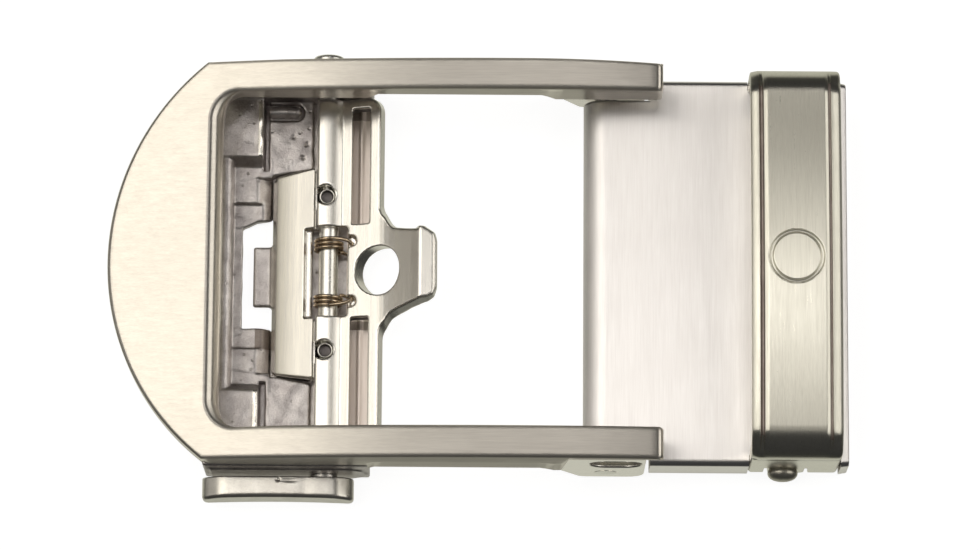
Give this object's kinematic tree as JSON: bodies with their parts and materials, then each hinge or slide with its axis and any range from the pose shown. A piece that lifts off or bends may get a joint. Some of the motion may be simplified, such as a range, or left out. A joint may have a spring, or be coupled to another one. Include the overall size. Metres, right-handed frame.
{
  "type": "ratchet belt buckle",
  "caption": "Ratchet belt buckle for a 35 mm strap: D-shaped frame with sprung pawl and side release lever, hinged to a strap clamp with a raised keeper band.",
  "frame": {"origin": "on the strap's centre line, 39.75 mm from the tip of the front bar, in the plane of the buckle's back", "axes": "+X along the strap towards the strap clamp, +Y across the strap away from the release lever, +Z out of the front"},
  "size_m": [0.0789, 0.0488, 0.0128],
  "materials": {
    "frame_metal": "brushed nickel plating, warm, on a cast body",
    "pawl_metal": "satin nickel plating on a casting",
    "pin_steel": "polished nickel",
    "spring_steel": "bright drawn wire, straw brown",
    "lever_metal": "satin nickel plating, lightly pitted",
    "clamp_metal": "nickel plating brushed across the strap",
    "jaw_steel": "plain plated steel",
    "keeper_metal": "nickel plating brushed across the strap"
  },
  "bodies": {
    "frame": {"frame": "frame_metal", "hinge_pin": "pin_steel"},
    "pawl": {"pawl": "pawl_metal", "axle": "pin_steel", "roll_pin_upper": "pin_steel", "roll_pin_lower": "pin_steel", "spring_upper": "spring_steel", "spring_lower": "spring_steel", "release_lever": "lever_metal"},
    "clamp": {"clamp_body": "clamp_metal", "clamp_jaw": "jaw_steel", "keeper_band": "keeper_metal", "keeper_rivet_upper": "pin_steel", "keeper_rivet_lower": "pin_steel"}
  },
  "joints": [
    {"name": "release", "type": "hinge", "parent": "frame", "child": "pawl", "pos_m": [-0.01665, 0, 0.00275], "axis": [0, 1, 0], "range_deg": [0, 22], "stiffness_Nm_per_rad": 0.005, "springref_deg": -34.38, "deforming": ["spring_upper", "spring_lower"]},
    {"name": "clamp_hinge", "type": "hinge", "parent": "frame", "child": "clamp", "pos_m": [0.01335, 0, 0.003], "axis": [0, 1, 0], "range_deg": [-4, 90]}
  ]
}
